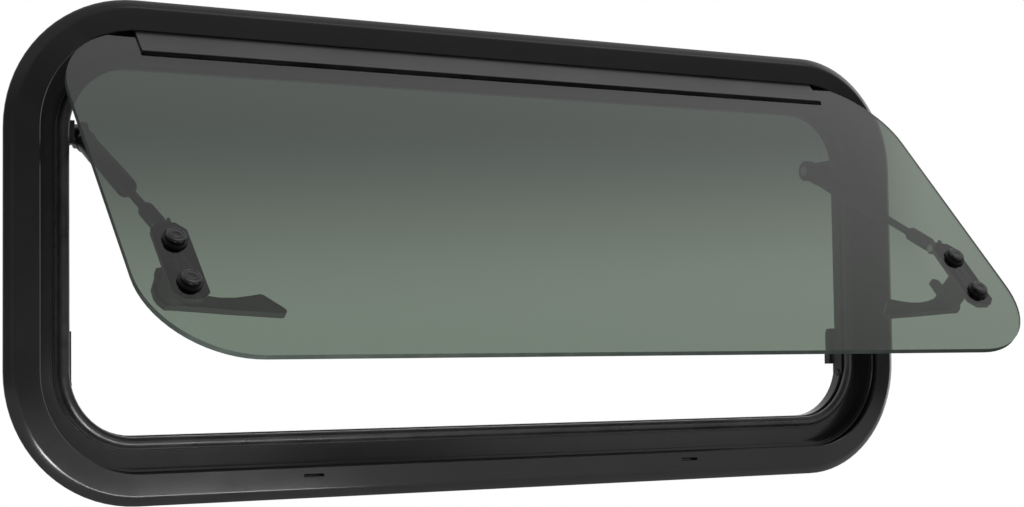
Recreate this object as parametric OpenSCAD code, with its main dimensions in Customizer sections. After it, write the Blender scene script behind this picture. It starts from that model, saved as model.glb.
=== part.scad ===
// Top-hung caravan window: one alloy frame clamped through the wall, a tinted pane that hangs from
// a groove in the frame's top rail, two telescopic stays and two turn latches on the pane.
// Origin on the flat rear of the flange, in the middle of the bottom rail. -Y is outdoors, +Z is up.

/* [Frame] */
// Width over the outer flange
frame_w = 1000; // [900:5:1200]
// Height over the outer flange
frame_h = 450; // [440:5:560]
// Outer radius of the frame's corners
corner_r = 120; // [100:1:150]
// Wall thickness of the frame section
skin = 1.8; // [1.4:0.1:2.2]
// Thickness of the flange at its rim
rim_t = 1.6; // [1.2:0.1:2.4]
// Inset of the crest from the rim
crest_in = 11.5; // [10:0.5:13]
// How far the crest stands off the wall
crest_out = 8.6; // [7.5:0.1:9.5]
// Inset of the lip that shades the pane's edge
lip_in = 29.5; // [29:0.1:30]
// How far the lip stands off the wall
lip_out = 12.6; // [12:0.1:13.4]
// Width of the flat foot along the rim
foot_w = 8; // [6:0.5:9]

/* [Channel and seal] */
// Inset of the channel's outer wall
channel_in = 30.8; // [30.4:0.1:32]
// Depth of the land behind the wall's face
land_y = 12; // [11:0.5:14]
// Inset of the aperture's lining
lining_in = 62; // [61.4:0.1:64]
// Depth of the lining's rear face
lining_y = 23.1; // [21:0.1:25]
// Width of the lining
nose_w = 5.2; // [4.4:0.1:5.6]
// Inset of the bulb seal
bulb_in = 56; // [55:0.5:56.5]
// Radius of the bulb seal
bulb_r = 5; // [4.4:0.1:5.4]
// Wall of the hollow bulb
bulb_wall = 1.5; // [1:0.1:2]

/* [Inner ring] */
// Thickness of the caravan's wall
wall_t = 26; // [24:1:34]
// Thickness of the inner ring
ring_t = 2; // [1.6:0.1:3]
// Inset of the inner ring's outer edge
ring_edge_in = 10; // [6:1:16]
// Inset of the inner ring's sleeve
sleeve_in = 54; // [52:0.5:54.5]
// Inset of the clamp screws
screw_in = 40; // [38.5:0.5:42]
// Diameter of the clamp screws
screw_d = 4; // [3:0.5:5]

/* [Sash] */
// Inset of the pane's side edges
pane_in = 36; // [35:0.5:37]
// How much lower the pane is than the frame
pane_margin = 55; // [54:0.2:60]
// Corner radius of the pane
pane_r = 88; // [80:1:116]
// Thickness of the pane
pane_t = 5; // [4:0.5:6]
// Angle that the sash stands open
open_angle = 42.5; // [36:0.5:45]
// Inset of the hinge axis
hinge_in = 25.5; // [25:0.1:26]
// How far the hinge axis stands off the wall
hinge_out = 5.2; // [5:0.1:5.6]
// Radius of the hinge bead
bead_r = 3.4; // [3:0.1:3.5]
// Inset of the hinge strip's ends
strip_in = 116; // [110:1:130]
// Height of the hinge strip on the pane
strip_h = 29; // [26:0.2:34]
// Thickness of the hinge strip
strip_t = 2; // [1.6:0.1:2.2]
// Distance from the hinge axis down to the pane's top edge
pane_drop = 5; // [4.8:0.1:6]

/* [Glass bracket] */
// Inset of the brackets and stays
fitting_in = 81.5; // [81:0.5:86]
// Width of the bracket's plate
plate_w = 30; // [27:1:34]
// Length of the bracket's plate
plate_h = 86; // [82:1:94]
// Thickness of the bracket's plate
plate_t = 4; // [3:0.5:5]
// Distance from the pane's bottom edge up to the plate's top
plate_rise = 149; // [140:1:153]
// Thickness of the pad under the plate
pad_t = 1; // [0.6:0.2:2]
// Distance from the plate's top down to the first bolt
bolt_drop = 23; // [22:0.5:25]
// Distance between the two bolts
bolt_pitch = 47; // [44:0.5:50]
// Diameter of the bolts
bolt_d = 6; // [5:0.5:7]
// Diameter of the bolts' caps
cap_d = 16; // [14:0.5:18]
// Height of the bolts' caps
cap_h = 4.5; // [4:0.5:7]
// Width of the bolts' hex sockets over the corners
socket_d = 7.4; // [6:0.2:8]
// Diameter of the rubber washers
washer_d = 21; // [19:0.5:22]
// Thickness of the rubber washers
washer_t = 2; // [1.5:0.5:3.5]

/* [Latch] */
// Distance from the bolts' line in to the lever's axis
lever_shift = 2; // [0:0.5:3]
// Distance from the plate's top down to the lever's axis
lever_drop = 48; // [46:0.5:50]
// Height of the lever's underside over the pane
lever_gap = 33; // [28:0.5:35]
// Thickness of the lever
lever_t = 6; // [5:0.5:8]
// Radius of the lever's hub and of the post that carries it
hub_r = 13; // [12:0.5:14]
// Length of the lever's handle
handle_len = 94; // [80:1:98]
// Length of the lever's hook
hook_len = 31; // [28:0.5:32]
// Width of the lever's hook
hook_w = 9; // [8:0.5:11]
// Diameter of the lever's pin
pin_d = 6; // [5:0.5:7]
// Width of the strike's catch
catch_h = 37; // [32:1:44]
// Thickness of the strike's catch
strike_t = 5; // [4:0.5:6]
// Thickness of the strike's foot
strike_foot = 1.6; // [1.2:0.1:2]

/* [Stay] */
// Distance from the hinge axis down to the stay's pivot
stay_drop = 94.5; // [88:0.5:100]
// Depth of the stay's pivot behind the wall's face
stay_depth = 38; // [34:0.5:42]
// Length of rod in view between the housing and the ferrule
rod_shown = 45; // [36:1:54]
// Diameter of the stay's housing
housing_d = 18; // [16:0.5:20]
// Diameter of the stay's rod
rod_d = 7.5; // [6:0.5:9]
// Diameter of the rod's ferrule
ferrule_d = 14; // [12:0.5:15]
// Length of the rod's ferrule
ferrule_len = 34; // [28:1:38]
// Radius of the eye at the pivot
eye_r = 11; // [10:0.5:12]
// Diameter of the stay's pins
stay_pin_d = 5; // [4:0.5:6]

/* [Hidden] */
$fn = 64;

// Clearances
slack = 0.3;            // between pieces that slide or turn on each other
fit = 0.1;              // between a pin and the piece that holds it
cut = 1;                // how far a cut runs past a face

// Frame section
lip_edge = 1;           // bevel of the lip's nose
crest_r = 8;            // rounding of the crest
groove_r = bead_r + slack + 0.1;
groove_wall = 1.6;
mouth_from = -66;       // the groove is open between these two directions, seen from its axis
mouth_to = 24;
slope_in = 1.8;         // where the rim's slope starts
slope_a = 34;           // slope from the rim up to the crest
ridge = 1.2;            // bead along the land's inner edge
ridge_in = 48;
nose_y = land_y - 0.4;  // the lining's front lies just behind the bulb
nose_edge = 0.9;        // bevel of the lining's front
seal_foot = 1.4;        // thickness of the seal's foot on the land
port_in = screw_d / 2 - slack;
port_t = 1.6;
port_end = 23;          // depth of the screw ports' ends
gasket_t = 4;
gasket_in = foot_w + slack;
gasket_out = hinge_in - groove_r - groove_wall - 1.2;
slot_len = 21;
slot_w = 3;
slot_x = 0.213 * frame_w;
slot_in = 21.4;

clamp_x = frame_w * [-0.33, -0.11, 0.11, 0.33];
clamp_z = frame_h * [-2 / 15, 2 / 15];

lift = frame_h / 2 - foot_w / 2;      // the origin sits on the bottom rail's foot
hinge_z = frame_h / 2 - hinge_in;
pane_w = frame_w - 2 * pane_in;
pane_h = frame_h - pane_margin;
strip_len = frame_w - 2 * strip_in;
pane_face = strip_t / 2;              // the pane's outer face, measured from the hinge axis
pane_back = pane_face + pane_t;
plate_face = pane_back + pad_t;
plate_z = -pane_drop - pane_h + plate_rise;
fitting_x = frame_w / 2 - fitting_in;
bolt_z = [plate_z - bolt_drop, plate_z - bolt_drop - bolt_pitch];
lever_x = fitting_x - lever_shift;
lever_z = plate_z - lever_drop;
lever_y = pane_back + lever_gap;
post_end = lever_y - slack;
nut_h = 5;
socket_deep = 3;
pin_head_h = 2;
bracket_r = 8;          // corner bevel of the bracket's plate

// Stay, in the plane of its swing: pivot on the frame, pin on the glass bracket
stay_z = hinge_z - stay_drop;
end_s = plate_z + 3.5;
end_y = plate_face + plate_t + 4.6;
end_at = [-hinge_out + end_y * cos(open_angle) + end_s * sin(open_angle),
    hinge_z - end_y * sin(open_angle) + end_s * cos(open_angle)];
stay_run = [end_at[0] - stay_depth, end_at[1] - stay_z];
stay_len = norm(stay_run);
stay_tilt = atan2(stay_run[1], -stay_run[0]);
tongue_t = 7;
lug_t = 2.4;
lug_r = 6;
lug_foot = 9;           // how far the lugs reach down the plate
eye_t = 9;
neck_at = eye_r + 2;
ferrule_end = stay_len - 7;
ferrule_from = ferrule_end - ferrule_len;
housing_len = ferrule_from - rod_shown;
rod_from = housing_len - 24;

lining_x = frame_w / 2 - lining_in;
catch_end = -hinge_out + lever_y - 0.8;
catch_up = 10.7;        // the catch's middle lies this far above the lever's axis when the sash is shut
strike_z = hinge_z + lever_z + catch_up;
strike_tab = 19;
strike_front = 9;
strike_deep = 14;
mount_t = 5;
mount_h = 21;
mount_front = 9;
mount_pitch = 12;
screw_y = 15.5;         // depth of the screws through the lining's side

function arc(c, r, from, to, n) =
    [for (i = [0:n]) let (a = from + (to - from) * i / n) c + r * [cos(a), sin(a)]];

module from_centre() {
    translate([0, 0, lift]) children();
}

// Everything on the sash is placed from the hinge axis, as if the sash were shut, and then swung open
module on_sash() {
    from_centre() translate([0, -hinge_out, hinge_z]) rotate([-open_angle, 0, 0]) children();
}

module side(s) {
    if (s > 0) children();
    else mirror([1, 0, 0]) children();
}

// A section, drawn with inset along X and depth along Y, run once round the frame
module ring() {
    for (turn = [0, 180]) rotate([0, turn, 0]) rail(frame_w - 2 * corner_r, frame_h / 2) children();
    for (turn = [90, 270]) rotate([0, turn, 0]) rail(frame_h - 2 * corner_r, frame_w / 2) children();
    for (c = [[1, -1, 0], [-1, -1, 90], [-1, 1, 180], [1, 1, 270]])
        translate([c[0] * (frame_w / 2 - corner_r), 0, c[1] * (frame_h / 2 - corner_r)])
            rotate([0, c[2], 0]) rotate([-90, 0, 0]) rotate_extrude(angle = 90, $fn = 96)
                translate([corner_r, 0]) mirror([1, 0]) children();
}

module rail(len, out) {
    translate([0, 0, -out]) rotate([0, -90, 0]) linear_extrude(len, center = true) children();
}

module box2(from, to) {
    translate([from[0], from[1]]) square([to[0] - from[0], to[1] - from[1]]);
}

// Frame section, front skin: rim, slope, crest and the flat face that rises to the lip
module flange_section() {
    face_a = atan2(lip_out - crest_out, lip_in - crest_in);
    top = [crest_in, -crest_out + crest_r];
    slope = arc(top, crest_r, -90 - slope_a, -90 - face_a, 6);
    inner = arc(top, crest_r - skin, -90 - face_a, -90 - slope_a, 6);
    rise = slope[0][1] + (slope[0][0] - slope_in) * tan(slope_a);
    polygon(concat([[0, 0], [0, -rim_t], [slope_in, rise]], slope,
        [[lip_in - lip_edge, -lip_out], [lip_in, -lip_out + lip_edge], [lip_in, -lip_out + skin]],
        inner, [[slope_in + 2.2, -skin], [foot_w, -skin], [foot_w, 0]]));
}

module groove_section() {
    c = [hinge_in, -hinge_out];
    difference() {
        translate(c) circle(groove_r + groove_wall);
        translate(c) circle(groove_r);
        polygon(concat([c], arc(c, 3 * groove_r, mouth_from, mouth_to, 1)));
    }
}

module channel_section() {
    box2([channel_in - 1.4, -hinge_out + 2.6], [channel_in + skin, -hinge_out + 2.6 + skin]);
    box2([channel_in, -hinge_out + 2.6], [channel_in + skin, land_y + skin]);
    box2([channel_in, land_y], [lining_in - nose_w + 0.5 * skin, land_y + skin]);
    box2([ridge_in, land_y - ridge], [ridge_in + ridge, land_y]);
}

// Hollow lip round the aperture, which the stays and strikes are screwed to
module lining_section() {
    from = lining_in - nose_w;
    difference() {
        polygon([[from, lining_y], [from, nose_y + nose_edge], [from + nose_edge, nose_y],
            [lining_in - nose_edge, nose_y], [lining_in, nose_y + nose_edge], [lining_in, lining_y]]);
        box2([from + skin, nose_y + skin], [lining_in - skin, lining_y - skin]);
    }
}

module port_section() {
    for (s = [-1, 1])
        translate([screw_in + s * (port_in + port_t / 2), 0])
            box2([-port_t / 2, land_y + skin], [port_t / 2, port_end]);
}

module frame_section() {
    difference() {
        union() {
            flange_section();
            groove_section();
        }
        translate([hinge_in, -hinge_out]) circle(groove_r);
    }
    channel_section();
    lining_section();
    port_section();
}

module outer_frame() {
    color([0.17, 0.18, 0.17]) from_centre() difference() {
        ring() frame_section();
        for (s = [-1, 1]) drain_slot(s * slot_x);
    }
}

// Slot with round ends, cut through the bottom rail's front skin
module drain_slot(x) {
    translate([x, -hinge_out, -frame_h / 2 + slot_in]) rotate([90, 0, 0])
        linear_extrude(lip_out) union() {
            square([slot_len - slot_w, slot_w], center = true);
            for (s = [-1, 1]) translate([s * (slot_len - slot_w) / 2, 0]) circle(d = slot_w);
        }
}

module wall_gasket() {
    color([0.08, 0.08, 0.08]) from_centre() ring()
        polygon([[gasket_in, 0], [gasket_in, -gasket_t + 1], [gasket_in + 1, -gasket_t],
            [gasket_out, -gasket_t], [gasket_out, 0]]);
}

module sash_seal() {
    mid = [bulb_in, land_y - seal_foot - bulb_r + 0.8];
    color([0.07, 0.07, 0.07]) from_centre() ring() difference() {
        union() {
            box2([ridge_in + ridge + slack, land_y - seal_foot], [lining_in - nose_w - fit, land_y]);
            translate(mid) circle(bulb_r);
        }
        translate(mid) circle(bulb_r - bulb_wall);
    }
}

module inner_ring() {
    color([0.2, 0.2, 0.2]) from_centre() difference() {
        ring() union() {
            polygon([[ring_edge_in, wall_t + 0.6], [ring_edge_in, wall_t],
                [sleeve_in, wall_t], [sleeve_in, land_y + skin + 1],
                [sleeve_in + ring_t, land_y + skin + 1], [sleeve_in + ring_t, wall_t + ring_t - 0.6],
                [sleeve_in + ring_t - 0.6, wall_t + ring_t], [ring_edge_in + 3, wall_t + ring_t]]);
        }
        clamp_at() cylinder(d = screw_d + slack, h = 4 * ring_t, center = true);
    }
}

// The places of the clamp screws, on the room side of the inner ring
module clamp_at() {
    y = wall_t + ring_t;
    for (x = clamp_x, s = [-1, 1])
        translate([x, y, s * (frame_h / 2 - screw_in)]) rotate([-90, 0, 0]) children();
    for (z = clamp_z, s = [-1, 1])
        translate([s * (frame_w / 2 - screw_in), y, z]) rotate([-90, 0, 0]) children();
}

module clamp_screws() {
    color([0.6, 0.6, 0.6]) from_centre() clamp_at() {
        cylinder(d1 = 1.9 * screw_d, d2 = 1.4 * screw_d, h = 2.2);
        translate([0, 0, -wall_t + land_y + skin + 1]) cylinder(d = 2 * port_in - 0.2, h = wall_t - land_y);
    }
}

module pane_outline(grow) {
    w = pane_w / 2 + grow;
    r = pane_r + grow;
    top = -pane_drop + grow;
    union() {
        translate([-w + r, top - pane_h - 2 * grow]) square([2 * (w - r), pane_h + 2 * grow]);
        translate([-w, top - pane_h - 2 * grow + r]) square([2 * w, pane_h + 2 * grow - 2 * r]);
        for (x = [-1, 1], z = [top - r, top - pane_h - 2 * grow + r])
            translate([x * (w - r), z]) circle(r, $fn = 128);
    }
}

module glass_pane() {
    color([0.45, 0.5, 0.45, 0.6]) on_sash() difference() {
        translate([0, pane_back, 0]) rotate([90, 0, 0]) linear_extrude(pane_t) pane_outline(0);
        for (s = [-1, 1], z = bolt_z)
            translate([s * fitting_x, 0, z]) rotate([-90, 0, 0]) cylinder(d = bolt_d + 2, h = 4 * pane_t);
    }
}

module hinge_strip() {
    bottom = -pane_drop - strip_h;
    color([0.32, 0.32, 0.32]) on_sash() rotate([0, 90, 0]) linear_extrude(strip_len, center = true)
        mirror([1, 0]) union() {
            circle(bead_r);
            polygon([[0, -strip_t / 2], [0, strip_t / 2], [bottom, strip_t / 2],
                [bottom, -strip_t / 2 - 0.8], [bottom + 2, -strip_t / 2 - 0.8],
                [bottom + 3.4, -strip_t / 2]]);
        }
}

// Rubber lip that closes the step between the strip and the pane
module hinge_gasket() {
    bottom = -pane_drop - strip_h;
    color([0.05, 0.05, 0.05]) on_sash() rotate([0, 90, 0]) linear_extrude(strip_len, center = true)
        mirror([1, 0]) polygon([[bottom, -strip_t / 2], [bottom, strip_t / 2],
            [bottom - 3.5, strip_t / 2], [bottom - 3.2, 0.2], [bottom - 1, -strip_t / 2]]);
}

// Outline of the plate, seen from the room, round the point midway along its length
module plate_outline(grow) {
    w = plate_w / 2 + grow;
    h = plate_h / 2 + grow;
    polygon([[-w + bracket_r, -h], [w - bracket_r, -h], [w, -h + bracket_r], [w, h - bracket_r],
        [w - bracket_r, h], [-w + bracket_r, h], [-w, h - bracket_r], [-w, -h + bracket_r]]);
}

module glass_bracket(s) {
    color([0.2, 0.2, 0.21]) on_sash() side(s) difference() {
        union() {
            translate([fitting_x, plate_face + plate_t, plate_z - plate_h / 2]) rotate([90, 0, 0])
                linear_extrude(plate_t) plate_outline(0);
            translate([lever_x, plate_face, lever_z]) rotate([-90, 0, 0])
                cylinder(r = hub_r, h = post_end - plate_face);
            for (t = [-1, 1])
                translate([fitting_x + t * (tongue_t / 2 + slack + lug_t / 2), 0, 0]) lug();
        }
        for (z = bolt_z)
            translate([fitting_x, plate_face - cut, z]) rotate([-90, 0, 0])
                cylinder(d = bolt_d + 2 * slack, h = plate_t + nut_h + 2 * cut + 0.4);
        for (z = bolt_z)
            translate([fitting_x, plate_face + plate_t, z]) rotate([-90, 0, 0])
                cylinder(r = bolt_d + slack, h = nut_h + 4);
        translate([lever_x, post_end - 12, lever_z]) rotate([-90, 0, 0]) cylinder(d = pin_d, h = 14);
        translate([fitting_x, end_y, end_s]) rotate([0, 90, 0])
            cylinder(d = stay_pin_d, h = 2 * plate_w, center = true);
    }
}

module lug() {
    translate([0, end_y, end_s]) rotate([0, 90, 0]) cylinder(r = lug_r, h = lug_t, center = true);
    translate([-lug_t / 2, plate_face + plate_t / 2, plate_z - lug_foot])
        cube([lug_t, end_y - plate_face - plate_t / 2, end_s + lug_r - plate_z + lug_foot]);
}

module bracket_pad(s) {
    color([0.06, 0.06, 0.06]) on_sash() side(s) difference() {
        translate([fitting_x, plate_face, plate_z - plate_h / 2]) rotate([90, 0, 0])
            linear_extrude(pad_t) plate_outline(0.6);
        for (z = bolt_z)
            translate([fitting_x, plate_face - 2 * pad_t, z]) rotate([-90, 0, 0])
                cylinder(d = bolt_d + 2, h = 4 * pad_t);
    }
}

module glass_bolts(s) {
    color([0.08, 0.08, 0.08]) on_sash() side(s) for (z = bolt_z)
        translate([fitting_x, pane_face - washer_t, z]) rotate([90, 0, 0]) {
            difference() {
                rotate_extrude() polygon(concat([[0, 0], [cap_d / 2, 0], [cap_d / 2, cap_h - 2]],
                    arc([cap_d / 2 - 2, cap_h - 2], 2, 0, 90, 4), [[0, cap_h]]));
                translate([0, 0, cap_h - socket_deep])
                    cylinder(d = socket_d, h = socket_deep + cut, $fn = 6);
            }
            mirror([0, 0, 1]) cylinder(d = bolt_d, h = washer_t + pane_t + pad_t + plate_t + nut_h);
        }
}

module bolt_washers(s) {
    color([0.04, 0.04, 0.04]) on_sash() side(s) for (z = bolt_z)
        translate([fitting_x, pane_face, z]) rotate([90, 0, 0]) difference() {
            cylinder(d = washer_d, h = washer_t);
            translate([0, 0, -cut]) cylinder(d = bolt_d, h = washer_t + 2 * cut);
        }
}

module bracket_nuts(s) {
    color([0.55, 0.55, 0.55]) on_sash() side(s) for (z = bolt_z)
        translate([fitting_x, plate_face + plate_t, z]) rotate([-90, 0, 0]) difference() {
            cylinder(d = 10, h = nut_h, $fn = 6);
            translate([0, 0, -cut]) cylinder(d = bolt_d, h = nut_h + 2 * cut);
        }
}

// Lever seen from outdoors, round its axis: a hook that stands up and a flared handle towards the middle
module lever_outline() {
    tip = -handle_len;
    hook_from = -2;
    hook_to = hook_from + hook_w;
    shoulder = hub_r + 2;
    polygon(concat(arc([0, 0], hub_r, -95, -75, 3),
        [[0.7 * hub_r, -0.96 * hub_r], [0.9 * shoulder, -6], [shoulder, 0], [shoulder - 0.4, 9.7],
            [hook_to + 0.9, hook_len - 7]],
        arc([hook_to - 2, hook_len - 3], 2, 0, 60, 3), [[hook_from + 1.5, hook_len], [hook_from, hook_len - 1.5]],
        [[hook_from, 13], [-7.6, 8.6], [-17, 2.4], [0.28 * tip, -0.8], [0.41 * tip, -3.4],
            [0.56 * tip, -3.4], [0.69 * tip, -1.4], [tip + 18, 1], [tip + 15.6, 0.4]],
        arc([tip + 3.4, -17.6], 3.4, 140, 265, 5), [[0.5 * tip, -17.4]]));
}

module latch_lever(s) {
    color([0.22, 0.22, 0.23]) on_sash() side(s) difference() {
        translate([lever_x, lever_y + lever_t, lever_z]) rotate([90, 0, 0])
            linear_extrude(lever_t) lever_outline();
        translate([lever_x, lever_y - cut, lever_z]) rotate([-90, 0, 0])
            cylinder(d = pin_d + fit, h = lever_t + 2 * cut);
    }
}

module lever_pin(s) {
    color([0.5, 0.5, 0.5]) on_sash() side(s) translate([lever_x, post_end - 10, lever_z])
        rotate([-90, 0, 0]) {
            cylinder(d = pin_d - fit, h = 10 + lever_t + 2 * slack);
            translate([0, 0, 10 + lever_t + 2 * slack]) cylinder(d = 2 * pin_d, h = pin_head_h);
        }
}

// Everything on a stay is drawn along +X from the pivot and then turned to point at its end pin
module on_stay(s) {
    from_centre() side(s) translate([fitting_x, stay_depth, stay_z])
        rotate([0, 0, -90]) rotate([0, -stay_tilt, 0]) children();
}

module stay_housing(s) {
    r = housing_d / 2;
    color([0.12, 0.12, 0.13]) on_stay(s) difference() {
        union() {
            rotate([90, 0, 0]) cylinder(r = eye_r, h = eye_t, center = true);
            translate([0, -eye_t / 2, -r + 2]) cube([neck_at + 4, eye_t, 2 * r - 4]);
            rotate([0, 90, 0]) rotate_extrude() polygon(concat(
                [[0, neck_at], [r - 1, neck_at], [r, neck_at + 1], [r, neck_at + 6], [r - 1, neck_at + 8],
                    [r, housing_len - 30]],
                arc([r - 6, housing_len - 6], 6, 0, 90, 5), [[0, housing_len]]));
        }
        rotate([90, 0, 0]) cylinder(d = stay_pin_d + 2 * fit, h = 2 * eye_t, center = true);
        translate([rod_from - 2, 0, 0]) rotate([0, 90, 0]) cylinder(d = rod_d + 2 * slack, h = 40);
    }
}

module stay_rod(s) {
    color([0.4, 0.4, 0.4]) on_stay(s) translate([rod_from, 0, 0]) rotate([0, 90, 0])
        cylinder(d = rod_d, h = ferrule_from + 8 - fit - rod_from);
}

module stay_ferrule(s) {
    r = ferrule_d / 2;
    color([0.15, 0.15, 0.16]) on_stay(s) difference() {
        union() {
            translate([ferrule_from, 0, 0]) rotate([0, 90, 0]) rotate_extrude()
                polygon([[0, 0], [r - 1, 0], [r, 1.5], [r, ferrule_len - 4], [r - 2, ferrule_len],
                    [0, ferrule_len]]);
            translate([ferrule_end - 2, -tongue_t / 2, -4.5])
                cube([stay_len - ferrule_end + 2, tongue_t, 9]);
            translate([stay_len, 0, 0]) rotate([90, 0, 0])
                cylinder(r = 4.5, h = tongue_t, center = true);
        }
        translate([ferrule_from - cut, 0, 0]) rotate([0, 90, 0]) cylinder(d = rod_d + 2 * fit, h = 8 + cut);
        translate([stay_len, 0, 0]) rotate([90, 0, 0])
            cylinder(d = stay_pin_d + 2 * fit, h = 2 * tongue_t, center = true);
    }
}

module stay_end_pin(s) {
    reach = tongue_t + 2 * slack + 2 * lug_t;
    color([0.6, 0.6, 0.6]) on_sash() side(s) translate([fitting_x, end_y, end_s]) rotate([0, 90, 0]) {
        cylinder(d = stay_pin_d - fit, h = reach + 1, center = true);
        for (t = [-1, 1]) translate([0, 0, t * (reach / 2 + 0.8)])
            cylinder(d = 1.5 * stay_pin_d, h = 1.4, center = true);
    }
}

// The free space inside the lining, which what is screwed to the lining is shaped to
module aperture() {
    w = lining_x - fit;
    h = frame_h / 2 - lining_in - fit;
    r = corner_r - lining_in - fit;
    rotate([90, 0, 0]) linear_extrude(6 * stay_depth, center = true) union() {
        square([2 * w, 2 * (h - r)], center = true);
        square([2 * (w - r), 2 * h], center = true);
        for (x = [-1, 1], z = [-1, 1]) translate([x * (w - r), z * (h - r)]) circle(r, $fn = 96);
    }
}

module stay_mount(s) {
    inner = lining_x - mount_t;
    color([0.1, 0.1, 0.1]) from_centre() side(s) intersection() {
        aperture();
        difference() {
            union() {
                translate([inner, mount_front, stay_z - mount_h / 2])
                    cube([mount_t, stay_depth - mount_front, mount_h]);
                translate([inner, stay_depth, stay_z]) rotate([0, 90, 0])
                    cylinder(d = mount_h, h = mount_t);
                translate([fitting_x + eye_t / 2 + slack, stay_depth, stay_z]) rotate([0, 90, 0])
                    cylinder(r = 8, h = inner - fitting_x - eye_t / 2 - slack);
            }
            translate([fitting_x, stay_depth, stay_z]) rotate([0, 90, 0]) cylinder(d = stay_pin_d, h = 40);
            for (t = [-1, 1]) translate([inner - cut, screw_y, stay_z + t * mount_pitch / 2])
                rotate([0, 90, 0]) cylinder(d = 4, h = mount_t + 2 * cut);
        }
    }
}

module stay_mount_screws(s) {
    color([0.6, 0.6, 0.6]) from_centre() side(s) intersection() {
        aperture();
        for (t = [-1, 1]) translate([lining_x - mount_t, screw_y, stay_z + t * mount_pitch / 2])
            rotate([0, 90, 0]) {
                translate([0, 0, -1.6]) cylinder(d1 = 5, d2 = 7, h = 1.6);
                cylinder(d = 4 - 2 * fit, h = mount_t);
            }
    }
}

module stay_pivot(s) {
    color([0.6, 0.6, 0.6]) from_centre() side(s) translate([fitting_x, stay_depth, stay_z])
        rotate([0, 90, 0]) {
            translate([0, 0, -eye_t / 2 - slack - 2]) cylinder(d = 2.2 * stay_pin_d, h = 2);
            translate([0, 0, -eye_t / 2 - slack]) cylinder(d = stay_pin_d - fit, h = eye_t / 2 + 16);
        }
}

// A thin foot that is screwed to the lining, and behind the lining the catch for the lever's hook
module strike(s) {
    base = strike_z - catch_h / 2;
    color([0.1, 0.1, 0.1]) from_centre() side(s) intersection() {
        aperture();
        difference() {
            union() {
                translate([lining_x - strike_foot, strike_front, base - strike_tab])
                    cube([strike_foot, strike_deep, strike_tab + 1]);
                translate([lining_x - strike_foot, strike_front, base])
                    cube([strike_foot, lining_y + 4 - strike_front, catch_h]);
                translate([lining_x - strike_t, catch_end, base]) rotate([90, 0, 0])
                    linear_extrude(catch_end - lining_y - 1.4)
                        polygon([[0, 0], [strike_t, 0], [strike_t, catch_h], [2, catch_h], [0, catch_h - 5]]);
            }
            translate([lining_x - strike_foot - cut, screw_y, base - strike_tab / 2]) rotate([0, 90, 0])
                cylinder(d = 4, h = strike_foot + 2 * cut);
        }
    }
}

module strike_screw(s) {
    color([0.6, 0.6, 0.6]) from_centre() side(s) intersection() {
        aperture();
        translate([lining_x - strike_foot, screw_y, strike_z - catch_h / 2 - strike_tab / 2])
            rotate([0, 90, 0]) {
                translate([0, 0, -1.6]) cylinder(d1 = 6, d2 = 8, h = 1.6);
                cylinder(d = 4 - 2 * fit, h = strike_foot);
            }
    }
}

outer_frame();
wall_gasket();
inner_ring();
clamp_screws();
sash_seal();
glass_pane();
hinge_strip();
hinge_gasket();
stay_mount(-1);  // stay_mount_left
stay_mount(1);  // stay_mount_right
stay_mount_screws(-1);  // stay_mount_screws_left
stay_mount_screws(1);  // stay_mount_screws_right
stay_pivot(-1);  // stay_pivot_left
stay_pivot(1);  // stay_pivot_right
stay_housing(-1);  // stay_housing_left
stay_housing(1);  // stay_housing_right
stay_rod(-1);  // stay_rod_left
stay_rod(1);  // stay_rod_right
stay_ferrule(-1);  // stay_ferrule_left
stay_ferrule(1);  // stay_ferrule_right
stay_end_pin(-1);  // stay_end_pin_left
stay_end_pin(1);  // stay_end_pin_right
glass_bracket(-1);  // glass_bracket_left
glass_bracket(1);  // glass_bracket_right
bracket_pad(-1);  // bracket_pad_left
bracket_pad(1);  // bracket_pad_right
glass_bolts(-1);  // glass_bolts_left
glass_bolts(1);  // glass_bolts_right
bolt_washers(-1);  // bolt_washers_left
bolt_washers(1);  // bolt_washers_right
bracket_nuts(-1);  // bracket_nuts_left
bracket_nuts(1);  // bracket_nuts_right
latch_lever(-1);  // latch_lever_left
latch_lever(1);  // latch_lever_right
lever_pin(-1);  // lever_pin_left
lever_pin(1);  // lever_pin_right
strike(-1);  // strike_left
strike(1);  // strike_right
strike_screw(-1);  // strike_screw_left
strike_screw(1);  // strike_screw_right
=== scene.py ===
"""Looks of a top-hung caravan window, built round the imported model. Metres, the model's own frame."""
import math

import bmesh
import bpy
from mathutils import Matrix, Vector


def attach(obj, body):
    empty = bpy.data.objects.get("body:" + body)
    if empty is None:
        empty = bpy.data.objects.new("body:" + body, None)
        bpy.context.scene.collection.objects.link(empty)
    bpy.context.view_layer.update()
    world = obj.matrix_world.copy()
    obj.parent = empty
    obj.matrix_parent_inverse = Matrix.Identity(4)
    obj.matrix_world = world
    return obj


MM = 0.001

# The frame, in millimetres out from its middle
HALF_WIDE = 500
HALF_HIGH = 225
FRAME_MIDDLE = 221 * MM  # height of the frame's middle above the origin

# The pane: it hangs from a groove at the frame's top and stands open
OPEN_ANGLE = math.radians(42.5)
HINGE_OUT = 5.2 * MM
HINGE_UP = FRAME_MIDDLE + (HALF_HIGH - 25.5) * MM
FACE_COSINE = 0.7  # pane faces that turn further away than this from its front are its rim

# The pane is painted darker near the hinge and clearer on its way down: painted shade for the uneven light
# across the glass, not a change in its tint
PAINTED_SHADE_DOWN = (90 * MM, 350 * MM)  # from here to here, measured from the hinge
PAINTED_SHADE_LEAN = 0.07  # and a little toward the right
PAINTED_SHADE_RIGHT = (370 * MM, 470 * MM)  # between these places it also clears toward the right end,
PAINTED_SHADE_SHIFT = 150 * MM  # by as much as this distance down would do

# Bolts, in the pane's own frame
FITTING_X = 418.5 * MM
BOLTS_DOWN = (274 * MM, 321 * MM)
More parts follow.
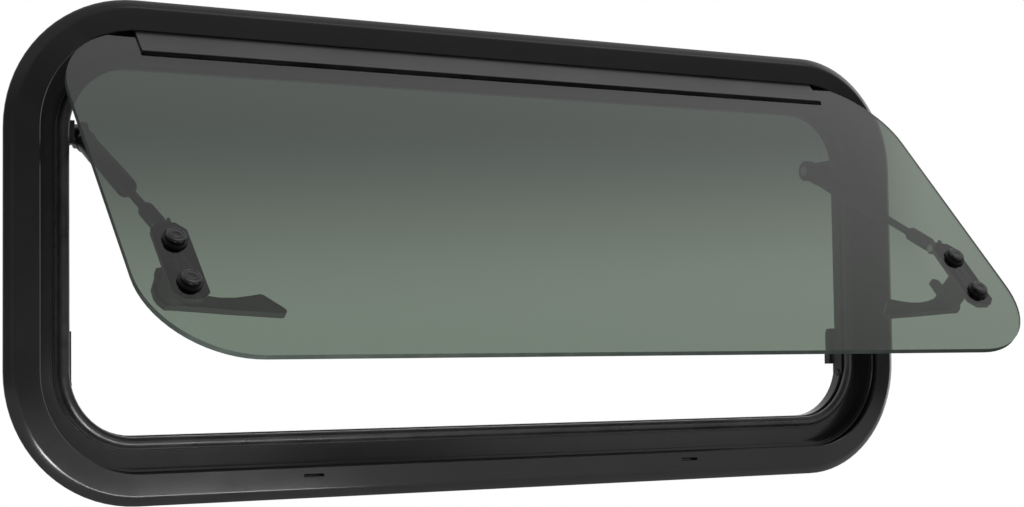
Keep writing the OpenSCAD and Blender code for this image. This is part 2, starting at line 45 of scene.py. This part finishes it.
# Radius and height of a bolt's cap, in millimetres, out from the hinge's plane
CAP_PROFILE = (
    (0, 3.2), (8.05, 3.2), (8.35, 3.45), (8.4, 4.4), (8.15, 5.1), (7.6, 5.6), (6.9, 5.8), (6.4, 5.7),
    (6.1, 5.35), (5.6, 5.25), (0, 5.2),
)

# Heads of the screws that hold stay mounts and strikes to the lining: across, deep and up
STAY_UP = FRAME_MIDDLE + (199.5 - 94.5) * MM
STRIKE_SCREW_UP = FRAME_MIDDLE + (-88.8 - 18.5 - 9.5) * MM
MOUNT_SCREW_X = 431.4 * MM
STRIKE_SCREW_X = 434.8 * MM
LINING_SCREW_DEEP = 15.5 * MM
MOUNT_SCREW_OFF = 6 * MM
LINING_SCREWS = (
    (MOUNT_SCREW_X, LINING_SCREW_DEEP, STAY_UP - MOUNT_SCREW_OFF),
    (MOUNT_SCREW_X, LINING_SCREW_DEEP, STAY_UP + MOUNT_SCREW_OFF),
    (STRIKE_SCREW_X, LINING_SCREW_DEEP, STRIKE_SCREW_UP),
)

# Screws through the inner ring
CLAMP_X = (-0.33, -0.11, 0.11, 0.33)
CLAMP_Z = (-0.06, 0.06)
CLAMP_IN = 40  # millimetres in from the frame's edge
CLAMP_FACE = (28 + 2.2) * MM  # depth of the heads' faces

# Dark crosses on screw heads, painted shade for their cross recesses: span, width of a bar, and depth
LINING_RECESS = (3.2 * MM, 0.8 * MM, 0.9 * MM)
CLAMP_RECESS = (3.8 * MM, 0.9 * MM, 1.2 * MM)
RECESS_TAPER = 0.35
RECESS_PROUD = 0.02 * MM

# Edges that turn by more than this many degrees stay sharp
SHARP_SOLID = 28
SHARP_PIECE = 35
WELD_WITHIN = 0.002 * MM
BEVEL_SAMPLES = 6

# The camera stands where the photograph was taken from
CAMERA_AT = (-1.00494, -1.67825, 0.10813)
CAMERA_YAW = math.radians(31.158)
CAMERA_PITCH = math.radians(3.4546)
CAMERA_ROLL = math.radians(-0.8537)
CAMERA_LENS = 69.84
CAMERA_SENSOR = 36
CAMERA_CLIP = (0.01, 50)

FLOOR_DROP = 0.33
FLOOR_SIZE = 6.0
FLOOR_CELLS = 4

# The room's brightness in front of the window and behind it, and the directions between which it
# changes, from -1 straight ahead of the window to 1 straight behind it
WALLS = (0.1, 1.0)
WALLS_TURN = (-0.3, 0.25)
CEILING = (0.52, 1.02)
CEILING_TURN = (-0.13, 0.13)
WALL_TO_CEILING = (0.25, 0.7)  # upward part of the direction

# Name, place, point that it faces, width, height and power
SOFTBOXES = (
    ("crest_strip", (-0.26, -0.42, -0.31), (-0.26, -0.42, 1), 0.62, 0.08, 3.4),
    ("corner_strip", (-0.64, -0.5, -0.31), (-0.64, -0.5, 1), 0.2, 0.3, 6),
    ("left_front", (-1.75, -1.1, 0.25), (-0.45, 0, 0.2), 0.3, 0.7, 0.12),
    ("land_left", (0.38, -1.9, 0.02), (-0.3, 0, 0.02), 0.45, 0.4, 0.6),
    ("floor_left", (-0.4, -1.35, 0.2), (-0.4, -1.3, -0.33), 0.6, 0.4, 0.3),
    ("floor_wash", (0.7, -0.95, 0.25), (0.7, -0.85, -0.33), 1.8, 0.2, 3.2),
    ("high_front", (1.5, -0.95, 3.0), (1.5, -0.95, 0), 2.4, 0.5, 5),
    ("right_front", (1.5, -1.9, 0.2), (0.1, 0, 0.1), 0.9, 0.7, 1.8),
)


def socket(node, name, value):
    """Sets one of a node's inputs by name."""
    node.inputs[name].default_value = value


def smooth_ramp(tree, value, turn, low=0.0, high=1.0):
    """Goes smoothly from low to high while the value goes from one end of turn to the other."""
    node = tree.nodes.new("ShaderNodeMapRange")
    node.interpolation_type = "SMOOTHSTEP"
    socket(node, "From Min", turn[0])
    socket(node, "From Max", turn[1])
    socket(node, "To Min", low)
    socket(node, "To Max", high)
    tree.links.new(value, node.inputs["Value"])
    return node.outputs["Result"]


class Finish:
    """A procedural material that is built up layer by layer round one Principled shader."""

    def __init__(self, name):
        self.material = bpy.data.materials.new(name)
        self.material.use_nodes = True
        self.tree = self.material.node_tree
        self.shader = self.tree.nodes["Principled BSDF"]
        self.where = self.tree.nodes.new("ShaderNodeTexCoord").outputs["Object"]
        self.normal = None

    def link(self, a, b):
        self.tree.links.new(a, b)

    def noise(self, scale, detail=3.0, roughness=0.5, stretch=(1, 1, 1)):
        """Noise over the object's own place, with its scale in features per metre."""
        mapping = self.tree.nodes.new("ShaderNodeMapping")
        socket(mapping, "Scale", stretch)
        texture = self.tree.nodes.new("ShaderNodeTexNoise")
        socket(texture, "Scale", scale)
        socket(texture, "Detail", detail)
        socket(texture, "Roughness", roughness)
        self.link(self.where, mapping.inputs["Vector"])
        self.link(mapping.outputs["Vector"], texture.inputs["Vector"])
        return texture.outputs["Fac"]

    def ramp(self, value, low, high, start=0.35, end=0.65):
        """Turns a value into a number from low to high."""
        node = self.tree.nodes.new("ShaderNodeMapRange")
        node.clamp = True
        socket(node, "From Min", start)
        socket(node, "From Max", end)
        socket(node, "To Min", low)
        socket(node, "To Max", high)
        self.link(value, node.inputs["Value"])
        return node.outputs["Result"]

    def tint(self, value, first, second):
        """Blends from the first colour to the second and gives it to the shader."""
        node = self.tree.nodes.new("ShaderNodeMix")
        node.data_type = "RGBA"
        self.link(value, node.inputs["Factor"])
        node.inputs["A"].default_value = (*first, 1)
        node.inputs["B"].default_value = (*second, 1)
        self.link(node.outputs["Result"], self.shader.inputs["Base Color"])

    def sheen(self, value, low, high, start=0.35, end=0.65):
        """Lets the roughness vary from low to high with a value."""
        self.link(self.ramp(value, low, high, start, end), self.shader.inputs["Roughness"])

    def round_edges(self, radius):
        """Sharp edges catch the light as if they had this radius."""
        node = self.tree.nodes.new("ShaderNodeBevel")
        node.samples = BEVEL_SAMPLES
        socket(node, "Radius", radius)
        self.normal = node.outputs["Normal"]

    def bump(self, value, depth, strength=1.0):
        """Raises the surface by up to depth metres where the value is 1."""
        node = self.tree.nodes.new("ShaderNodeBump")
        socket(node, "Distance", depth)
        socket(node, "Strength", strength)
        self.link(value, node.inputs["Height"])
        if self.normal is not None:
            self.link(self.normal, node.inputs["Normal"])
        self.normal = node.outputs["Normal"]

    def done(self):
        if self.normal is not None:
            self.link(self.normal, self.shader.inputs["Normal"])
        return self.material


def powder_coat(name, colour, roughness, edge=0.35 * MM, grain=0.02 * MM, gloss=0.5):
    """Baked powder coat: a fine orange peel, a slightly uneven sheen, and edges that catch light."""
    f = Finish(name)
    lighter = tuple(1.25 * c for c in colour)
    f.tint(f.ramp(f.noise(14), 0, 1), colour, lighter)
    f.sheen(f.noise(55, 4), roughness - 0.02, roughness + 0.03, 0.25, 0.75)
    socket(f.shader, "Metallic", 0.0)
    socket(f.shader, "Specular IOR Level", gloss)
    f.round_edges(edge)
    f.bump(f.noise(1400, 2), grain, 0.5)
    return f.done()


def moulded(name, colour, roughness, grain=0.03 * MM, scale=2200, edge=0.3 * MM, gloss=0.5):
    """Moulded nylon: spark-eroded grain and faint flow marks."""
    f = Finish(name)
    lighter = tuple(1.35 * c + 0.002 for c in colour)
    f.tint(f.ramp(f.noise(30, 4, 0.6, (1, 1, 3)), 0, 1), colour, lighter)
    f.sheen(f.noise(90), roughness - 0.06, roughness + 0.08)
    socket(f.shader, "Specular IOR Level", gloss)
    f.round_edges(edge)
    f.bump(f.noise(scale, 2), grain, 0.6)
    return f.done()


def rubber(name, colour, roughness, grain=0.03 * MM, gloss=0.5):
    """Extruded rubber: dull, and dusty in places."""
    f = Finish(name)
    dusty = tuple(c + 0.012 for c in colour)
    f.tint(f.ramp(f.noise(22, 5, 0.6), 0, 1), colour, dusty)
    f.sheen(f.noise(70, 4), roughness - 0.08, roughness + 0.08)
    socket(f.shader, "Specular IOR Level", gloss)
    f.round_edges(0.25 * MM)
    f.bump(f.noise(900, 3), grain, 0.5)
    return f.done()


def plated(name, colour, roughness):
    """Zinc plating: bright or blackened, faintly clouded metal."""
    f = Finish(name)
    darker = tuple(0.8 * c for c in colour)
    f.tint(f.ramp(f.noise(180, 4), 0, 1), darker, colour)
    f.sheen(f.noise(400), roughness - 0.08, roughness + 0.1)
    socket(f.shader, "Metallic", 1.0)
    f.round_edges(0.15 * MM)
    f.bump(f.noise(1500, 2), 0.01 * MM, 0.4)
    return f.done()


def pane_point(x, down, out):
    """A point by its place on the pane: across, down from the hinge, and out from the hinge's plane."""
    c = math.cos(OPEN_ANGLE)
    s = math.sin(OPEN_ANGLE)
    return Vector((x, -HINGE_OUT - down * s - out * c, HINGE_UP - down * c + out * s))


def pane_normal():
    """The direction that the pane's outer face looks in."""
    return (pane_point(0, 0, 1) - pane_point(0, 0, 0)).normalized()


def tinted_glass(name, clear, dark):
    """Toughened glass with a grey-green tint, painted darker toward the hinge and less so at the right end:
    painted shade for the uneven light across the pane.
    """
    f = Finish(name)
    top, low = (pane_point(0, down, 0) for down in PAINTED_SHADE_DOWN)
    along = (low - top).normalized()
    dot = f.tree.nodes.new("ShaderNodeVectorMath")
    dot.operation = "DOT_PRODUCT"
    dot.inputs[1].default_value = along + Vector((PAINTED_SHADE_LEAN, 0, 0))
    f.link(f.where, dot.inputs[0])
    axes = f.tree.nodes.new("ShaderNodeSeparateXYZ")
    f.link(f.where, axes.inputs["Vector"])
    total = f.tree.nodes.new("ShaderNodeMath")
    f.link(dot.outputs["Value"], total.inputs[0])
    f.link(f.ramp(axes.outputs["X"], 0, PAINTED_SHADE_SHIFT, *PAINTED_SHADE_RIGHT), total.inputs[1])
    # painted shade: the glass's colour goes from dark near the hinge to clear lower down and toward the
    # right end
    f.tint(smooth_ramp(f.tree, total.outputs["Value"], (top.dot(along), low.dot(along))), dark, clear)
    socket(f.shader, "Transmission Weight", 1.0)
    socket(f.shader, "Roughness", 0.0)
    socket(f.shader, "IOR", 1.5)
    return f.done()


def ground_edge(name):
    """The pane's ground and polished edge: greyer and duller than its faces."""
    f = Finish(name)
    f.tint(f.ramp(f.noise(60, 3), 0, 1), (0.026, 0.033, 0.029), (0.036, 0.044, 0.039))
    f.sheen(f.noise(500, 3), 0.35, 0.5)
    socket(f.shader, "IOR", 1.08)
    f.bump(f.noise(2500, 2), 0.01 * MM, 0.4)
    return f.done()


def shade_smooth(mesh):
    for face in mesh.polygons:
        face.use_smooth = True


def split_edges(piece, degrees):
    """Keeps edges sharp where the faces turn by more than an angle."""
    split = piece.modifiers.new("edges", "EDGE_SPLIT")
    split.split_angle = math.radians(degrees)


def dress(node, material):
    """Gives a solid its material, shades its round faces smoothly and keeps its real edges sharp."""
    mesh = node.data
    mesh.materials.clear()
    mesh.materials.append(material)
    if "custom_normal" in mesh.attributes:
        mesh.attributes.remove(mesh.attributes["custom_normal"])
    shade_smooth(mesh)
    weld = node.modifiers.new("weld", "WELD")
    weld.merge_threshold = WELD_WITHIN
    split_edges(node, SHARP_SOLID)


def dress_pane(node, face_material, edge_material):
    """Gives the pane's rim faces the ground edge, and the rest the tinted glass."""
    dress(node, face_material)
    node.data.materials.append(edge_material)
    out = pane_normal()
    for face in node.data.polygons:
        face.material_index = 0 if abs(face.normal.dot(out)) > FACE_COSINE else 1


def new_piece(name, form, material):
    """Makes a piece of the object from a bmesh. It rides on the root body."""
    mesh = bpy.data.meshes.new(name)
    bmesh.ops.recalc_face_normals(form, faces=form.faces)
    form.to_mesh(mesh)
    form.free()
    shade_smooth(mesh)
    mesh.materials.append(material)
    piece = bpy.data.objects.new(name, mesh)
    bpy.context.scene.collection.objects.link(piece)
    split_edges(piece, SHARP_PIECE)
    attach(piece, "root")
    return piece


def axes_of(normal):
    """Two directions square to a normal and to each other."""
    normal = normal.normalized()
    side = normal.orthogonal().normalized()
    return side, normal.cross(side)


def add_lathe(form, at, normal, profile, steps=48):
    """Turns a profile of (radius, height) round an axis. It starts and ends on the axis."""
    a, b = axes_of(normal)
    rings = []
    for radius, height in profile:
        centre = at + height * normal
        if radius == 0:
            rings.append([form.verts.new(centre)])
            continue
        turns = [2 * math.pi * k / steps for k in range(steps)]
        rings.append([form.verts.new(centre + radius * (math.cos(u) * a + math.sin(u) * b))
                      for u in turns])
    for low, high in zip(rings, rings[1:]):
        for k in range(steps):
            j = (k + 1) % steps
            if len(low) == 1:
                form.faces.new((low[0], high[k], high[j]))
            elif len(high) == 1:
                form.faces.new((low[k], low[j], high[0]))
            else:
                form.faces.new((low[k], low[j], high[j], high[k]))


def add_cross(form, at, normal, span, width, deep):
    """A dark cross of two bars, painted shade for the recess in a screw's head. Its top lies on the head's
    face.
    """
    a, b = axes_of(normal)
    for along, across in ((a, b), (b, a)):
        corners = []
        for drop in (0, deep):
            shrink = 1 - RECESS_TAPER * drop / deep
            for u, v in ((-1, -1), (1, -1), (1, 1), (-1, 1)):
                off = u * span / 2 * along + v * width / 2 * across
                corners.append(form.verts.new(at - drop * normal + shrink * off))
        low, high = corners[4:], corners[:4]
        form.faces.new(high)
        form.faces.new(low)
        for k in range(4):
            j = (k + 1) % 4
            form.faces.new((high[k], high[j], low[j], low[k]))


def add_bolt_caps(material):
    """Snap-on caps over the heads of the bolts that hold the brackets to the pane."""
    out = pane_normal()
    profile = [(radius * MM, height * MM) for radius, height in CAP_PROFILE]
    for hand, sign in (("left", -1), ("right", 1)):
        form = bmesh.new()
        for down in BOLTS_DOWN:
            add_lathe(form, pane_point(sign * FITTING_X, down, 0), out, profile)
        new_piece("bolt_caps_" + hand, form, material)


def add_screw_recess_shadows(material):
    """Dark crosses that paint the shade in the cross recesses of the screws through the frame's lining and
    the inner ring.
    """
    form = bmesh.new()
    for sign in (-1, 1):
        inward = Vector((-sign, 0, 0))
        for x, y, z in LINING_SCREWS:
            at = Vector((sign * x, y, z)) + RECESS_PROUD * inward
            add_cross(form, at, inward, *LINING_RECESS)
    new_piece("lining_screw_recess_shadows", form, material)
    form = bmesh.new()
    back = Vector((0, 1, 0))
    places = [(x, s * (HALF_HIGH - CLAMP_IN) * MM) for x in CLAMP_X for s in (-1, 1)]
    places += [(s * (HALF_WIDE - CLAMP_IN) * MM, z) for z in CLAMP_Z for s in (-1, 1)]
    for x, z in places:
        at = Vector((x, CLAMP_FACE + RECESS_PROUD, FRAME_MIDDLE + z))
        add_cross(form, at, back, *CLAMP_RECESS)
    new_piece("clamp_screw_recess_shadows", form, material)


def add_camera():
    """The camera, turned by its yaw, pitch and roll."""
    fwd = Vector((math.sin(CAMERA_YAW) * math.cos(CAMERA_PITCH),
                  math.cos(CAMERA_YAW) * math.cos(CAMERA_PITCH),
                  math.sin(CAMERA_PITCH)))
    level = Vector((math.cos(CAMERA_YAW), -math.sin(CAMERA_YAW), 0))
    above = level.cross(fwd)
    right = math.cos(CAMERA_ROLL) * level + math.sin(CAMERA_ROLL) * above
    up = math.cos(CAMERA_ROLL) * above - math.sin(CAMERA_ROLL) * level
    data = bpy.data.cameras.new("camera")
    data.lens = CAMERA_LENS
    data.sensor_width = CAMERA_SENSOR
    data.clip_start, data.clip_end = CAMERA_CLIP
    camera = bpy.data.objects.new("camera", data)
    bpy.context.scene.collection.objects.link(camera)
    turn = Matrix((right, up, -fwd)).transposed().to_4x4()
    camera.matrix_world = Matrix.Translation(CAMERA_AT) @ turn
    bpy.context.scene.camera = camera


def add_softbox(name, at, aim, width, height, power):
    """A soft lamp that faces the point aim. Neither the camera nor the glass shows it."""
    data = bpy.data.lights.new(name, "AREA")
    data.shape = "RECTANGLE"
    data.size = width
    data.size_y = height
    data.energy = power
    lamp = bpy.data.objects.new(name, data)
    bpy.context.scene.collection.objects.link(lamp)
    lamp.location = at
    lamp.rotation_mode = "QUATERNION"
    lamp.rotation_quaternion = (Vector(aim) - Vector(at)).to_track_quat("-Z", "Y")
    lamp.visible_camera = False
    lamp.visible_transmission = False


def add_room():
    """A room that lights the window from behind more than from the front, and is seen as plain white."""
    world = bpy.data.worlds.new("room")
    bpy.context.scene.world = world
    world.use_nodes = True
    tree = world.node_tree
    tree.nodes.clear()
    where = tree.nodes.new("ShaderNodeTexCoord")
    axes = tree.nodes.new("ShaderNodeSeparateXYZ")
    tree.links.new(where.outputs["Generated"], axes.inputs["Vector"])
    mix = tree.nodes.new("ShaderNodeMix")
    tree.links.new(smooth_ramp(tree, axes.outputs["Z"], WALL_TO_CEILING), mix.inputs["Factor"])
    tree.links.new(smooth_ramp(tree, axes.outputs["Y"], WALLS_TURN, *WALLS), mix.inputs["A"])
    tree.links.new(smooth_ramp(tree, axes.outputs["Y"], CEILING_TURN, *CEILING), mix.inputs["B"])
    seen = tree.nodes.new("ShaderNodeLightPath")
    either = tree.nodes.new("ShaderNodeMath")
    either.operation = "MAXIMUM"
    tree.links.new(seen.outputs["Is Camera Ray"], either.inputs[0])
    tree.links.new(seen.outputs["Is Transmission Ray"], either.inputs[1])
    sight = tree.nodes.new("ShaderNodeMix")
    tree.links.new(either.outputs["Value"], sight.inputs["Factor"])
    tree.links.new(mix.outputs["Result"], sight.inputs["A"])
    socket(sight, "B", 1.0)
    light = tree.nodes.new("ShaderNodeBackground")
    socket(light, "Color", (1, 1, 1, 1))
    tree.links.new(sight.outputs["Result"], light.inputs["Strength"])
    out = tree.nodes.new("ShaderNodeOutputWorld")
    tree.links.new(light.outputs["Background"], out.inputs["Surface"])


def add_floor():
    """A plain pale floor."""
    mesh = bpy.data.meshes.new("floor")
    form = bmesh.new()
    bmesh.ops.create_grid(form, x_segments=FLOOR_CELLS, y_segments=FLOOR_CELLS, size=FLOOR_SIZE / 2)
    form.to_mesh(mesh)
    form.free()
    floor = bpy.data.objects.new("floor", mesh)
    floor.location = (0, 0, -FLOOR_DROP)
    bpy.context.scene.collection.objects.link(floor)
    f = Finish("floor_paint")
    f.tint(f.ramp(f.noise(2), 0, 1), (0.6, 0.6, 0.595), (0.64, 0.64, 0.635))
    socket(f.shader, "Roughness", 0.8)
    mesh.materials.append(f.done())


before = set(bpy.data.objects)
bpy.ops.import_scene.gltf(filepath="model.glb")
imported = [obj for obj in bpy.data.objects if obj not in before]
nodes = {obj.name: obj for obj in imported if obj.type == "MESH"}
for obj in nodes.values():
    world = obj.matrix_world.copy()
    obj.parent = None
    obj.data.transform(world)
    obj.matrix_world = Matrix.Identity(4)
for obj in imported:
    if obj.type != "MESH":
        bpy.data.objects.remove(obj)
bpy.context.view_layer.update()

bpy.context.scene.view_settings.view_transform = "Standard"
add_camera()
add_room()
add_floor()
for softbox in SOFTBOXES:
    add_softbox(*softbox)

looks = {
    "outer_frame": powder_coat("frame_powder_coat", (0.008, 0.0085, 0.008), 0.2, gloss=0.4),
    "inner_ring": powder_coat("ring_powder_coat", (0.014, 0.014, 0.014), 0.5, grain=0.04 * MM),
    "hinge_strip": powder_coat("strip_powder_coat", (0.066, 0.066, 0.066), 0.42),
    "wall_gasket": rubber("gasket_foam", (0.015, 0.015, 0.015), 0.8, grain=0.08 * MM),
    "sash_seal": rubber("seal_rubber", (0.01, 0.01, 0.01), 0.34),
    # the hinge gasket's own black rubber, made near-black and almost without reflection so it also paints
    # the shadow along the strip's lower edge
    "hinge_gasket": rubber("hinge_rubber_and_shadow", (0.002, 0.002, 0.002), 0.6, gloss=0.08),
    "clamp_screws": plated("screw_zinc", (0.45, 0.45, 0.43), 0.35),
}
fitting = moulded("fitting_nylon", (0.007, 0.007, 0.0075), 0.5, gloss=0.25)
lever = moulded("lever_nylon", (0.014, 0.014, 0.015), 0.5)
pad = rubber("pad_rubber", (0.008, 0.008, 0.008), 0.7)
rod = powder_coat("rod_enamel", (0.006, 0.006, 0.006), 0.45, gloss=0.2)
cap = moulded("cap_gloss", (0.006, 0.006, 0.006), 0.12, grain=0.002 * MM)
zinc = looks["clamp_screws"]
black_zinc = plated("screw_black_zinc", (0.04, 0.04, 0.042), 0.35)
by_kind = {
    "stay_mount": fitting, "stay_mount_screws": zinc, "stay_pivot": zinc, "stay_housing": rod,
    "stay_rod": rod, "stay_ferrule": fitting, "stay_end_pin": zinc, "glass_bracket": fitting,
    "bracket_pad": pad, "glass_bolts": cap, "bolt_washers": fitting, "bracket_nuts": zinc,
    "latch_lever": lever, "lever_pin": zinc, "strike": fitting, "strike_screw": black_zinc,
}
for kind, material in by_kind.items():
    for hand in ("left", "right"):
        looks[kind + "_" + hand] = material

glass = tinted_glass("tinted_glass", (0.15, 0.19, 0.15), (0.03, 0.042, 0.034))
for name, node in nodes.items():
    if name == "glass_pane":
        dress_pane(node, glass, ground_edge("ground_edge"))
    else:
        dress(node, looks[name])

add_bolt_caps(cap)
# the dark crosses are painted shade, standing in for the recesses' shadowed insides
add_screw_recess_shadows(moulded("recess_shadow", (0.01, 0.01, 0.01), 0.6, grain=0.01 * MM))
